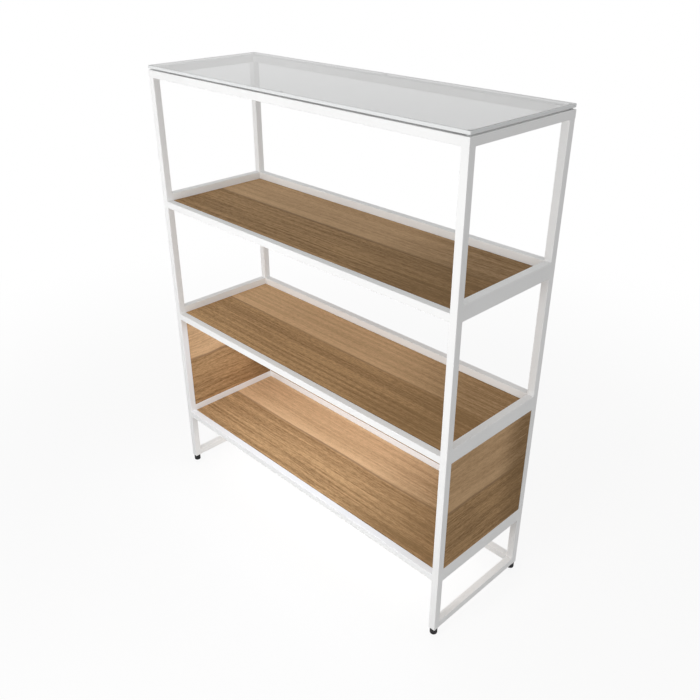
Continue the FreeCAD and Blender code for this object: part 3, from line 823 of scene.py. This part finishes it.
def screw(place, points_to, side):
    """A screw whose bearing face is at place. The recess is an arm's depth, falling off with the square
    of the radius; the thread swells where height / pitch - angle / turn is near a whole number."""
    radius, height = (values[:, None] for values in screw_profile())
    angle = np.linspace(0, 2 * math.pi, SCREW_AROUND, endpoint=False)
    across = np.minimum(abs(radius * np.cos(angle)), abs(radius * np.sin(angle)))
    wall = np.clip((CROSS_HALF - across) / CROSS_SLOPE + 0.5, 0, 1)
    depth = CROSS_DEPTH * np.clip(1 - (radius / CROSS_REACH) ** 2, 0, 1) * wall
    height = height + np.where(height <= -HEAD_HEIGHT, depth, 0)
    phase = (height / THREAD_PITCH - angle / (2 * math.pi)) % 1
    ridge = np.clip(1 - abs(phase - 0.5) / RIDGE_SHARE, 0, 1)
    point = np.clip((SCREW_LENGTH - height) / POINT_LENGTH, BLUNT_SHARE, 1)
    threaded = (ROOT_RADIUS + (SHANK_RADIUS - ROOT_RADIUS) * ridge) * point
    radius = np.where(height > 0, threaded, radius)
    axis, side = np.array(points_to, float), np.array(side, float)
    up = np.cross(axis, side)
    round_points = np.cos(angle)[:, None] * side + np.sin(angle)[:, None] * up
    rings = place + height[..., None] * axis + radius[..., None] * round_points
    poles = place + np.array([[CROSS_DEPTH - HEAD_HEIGHT], [SCREW_LENGTH]]) * axis
    return ring_surface(rings, poles)


UP = (0, 0, 1)
for level in LEVELS:
    places = bay_places(TAB_ROWS, HOLE_REACH, board_base[level] - TAB_PLATE)
    screws = [screw(place, UP, outward) for place, outward in places]
    add_piece(f"{level}_shelf_cross_screws", screws, "frame", "zinc_steel", [f"{level}_shelf_screws"])
end_row = np.array([-1, 1]) * (BAY_HALF[1] - END_BRACKET_INSET)
back_row = np.array([-1, 1]) * (BAY_HALF[0] - BACK_BRACKET_INSET)
BRACKET_ROWS = {"rear": back_row, "left": end_row, "right": end_row}
under_board = bay_places(BRACKET_ROWS, HOLE_REACH, board_base["middle"] - BRACKET_PLATE)
on_panel = bay_places(BRACKET_ROWS, BRACKET_PLATE, board_base["middle"] - HOLE_REACH)
screws = [screw(place, UP, outward) for place, outward in under_board]
screws += [screw(place, outward, UP) for place, outward in on_panel]
add_piece("bracket_cross_screws", screws, "frame", "zinc_steel", ["bracket_screws"])

# %% [markdown]
# ## Levelling feet
#
# A foot is a zinc-plated threaded stem in a black knob that is turned by hand, over a glide that stays
# still on the floor. The thread shows as soon as the foot is screwed out. It is a stack of rings whose
# radius depends on height and angle together, which makes a right-hand helix. The knob is turned from
# a profile with a bore above and a socket for the glide below, and its wall has shallow grip flutes.

# %% Levelling feet
STEM_RADIUS, STEM_PITCH, STEM_DEPTH = 4.0, 1.25, 0.7
STEM_CHAMFER = 1.2
CREST_TOP, CREST_SLOPE = 1.25, 3.0
STEM_AROUND, RINGS_PER_PITCH = 32, 10
KNOB_FLUTES, POINTS_PER_FLUTE, FLUTE_DEPTH = 30, 6, 0.45
SOCKET_RADIUS, SOCKET_ROOF = 4.55, 10.2
BORE_RADIUS, BORE_FLOOR = 4.03, 12.7
RIM, RIM_IN, RIM_UP = 0.8, 0.2, 0.25
WALL_INSET, WALL_RINGS, FLUTE_FADE, FLUTED_WALL = 1.0, 9, 1.6, 0.5


def round_rings(middle, radius, level):
    """Rings about an upright axis: a point is x + r cos t, y + r sin t and its ring's level."""
    angle = np.linspace(0, 2 * math.pi, radius.shape[1], endpoint=False)
    x, y = middle[0] + radius * np.cos(angle), middle[1] + radius * np.sin(angle)
    return np.stack([x, y, np.broadcast_to(level, radius.shape)], axis=-1)


def threaded_stem(corner):
    """Radius between root and crest by a flat-topped wave of height / pitch - angle / turn, and held
    under a cone at both ends."""
    middle, half = measures(f"foot_stem_{corner}")
    low, high = middle[2] - half[2], middle[2] + half[2]
    height = np.linspace(low, high, int((high - low) / STEM_PITCH * RINGS_PER_PITCH))[:, None]
    angle = np.linspace(0, 2 * math.pi, STEM_AROUND, endpoint=False)
    phase = (height / STEM_PITCH - angle / (2 * math.pi)) % 1
    crest = np.clip(CREST_TOP - abs(phase - 0.5) * CREST_SLOPE, 0, 1)
    cone = STEM_RADIUS - STEM_CHAMFER + np.minimum(height - low, high - height)
    radius = np.minimum(STEM_RADIUS - STEM_DEPTH * (1 - crest), cone)
    poles = np.array([(middle[0], middle[1], low), (middle[0], middle[1], high)])
    return ring_surface(round_rings(middle, radius, height), poles)


def fluted_knob(corner):
    """A turned profile, from the socket's roof round the wall to the bore's floor. The wall's radius
    loses half a raised cosine of the angle, between the rounded rims."""
    middle, half = measures(f"foot_knob_{corner}")
    low, high, wide = middle[2] - half[2], middle[2] + half[2], half[0]
    wall = np.linspace(low + WALL_INSET, high - WALL_INSET, WALL_RINGS)
    profile = [(SOCKET_RADIUS * 0.5, SOCKET_ROOF), (SOCKET_RADIUS, SOCKET_ROOF), (SOCKET_RADIUS, low)]
    profile += [(wide - RIM, low), (wide - RIM_IN, low + RIM_UP), (wide, low + RIM)]
    profile += [(wide, level) for level in wall]
    profile += [(wide, high - RIM), (wide - RIM_IN, high - RIM_UP), (wide - RIM, high)]
    profile += [(BORE_RADIUS, high), (BORE_RADIUS, BORE_FLOOR), (BORE_RADIUS * 0.5, BORE_FLOOR)]
    radius, level = (np.array(values)[:, None] for values in zip(*profile))
    angle = np.linspace(0, 2 * math.pi, KNOB_FLUTES * POINTS_PER_FLUTE, endpoint=False)
    flute = FLUTE_DEPTH * (0.5 + 0.5 * np.cos(KNOB_FLUTES * angle)) ** 2
    fade = np.clip(np.minimum(level - low, high - level) / FLUTE_FADE, 0, 1)
    radius = radius - flute * fade * (radius > wide - FLUTED_WALL)
    poles = np.array([(middle[0], middle[1], SOCKET_ROOF), (middle[0], middle[1], BORE_FLOOR)])
    return ring_surface(round_rings(middle, radius, level), poles)


for corner in CORNERS:
    stem = [threaded_stem(corner)]
    add_piece(f"thread_{corner}", stem, f"knob_{corner}", "zinc_steel", [f"foot_stem_{corner}"])
    knob = [fluted_knob(corner)]
    add_piece(f"grip_{corner}", knob, f"knob_{corner}", "black_plastic", [f"foot_knob_{corner}"])
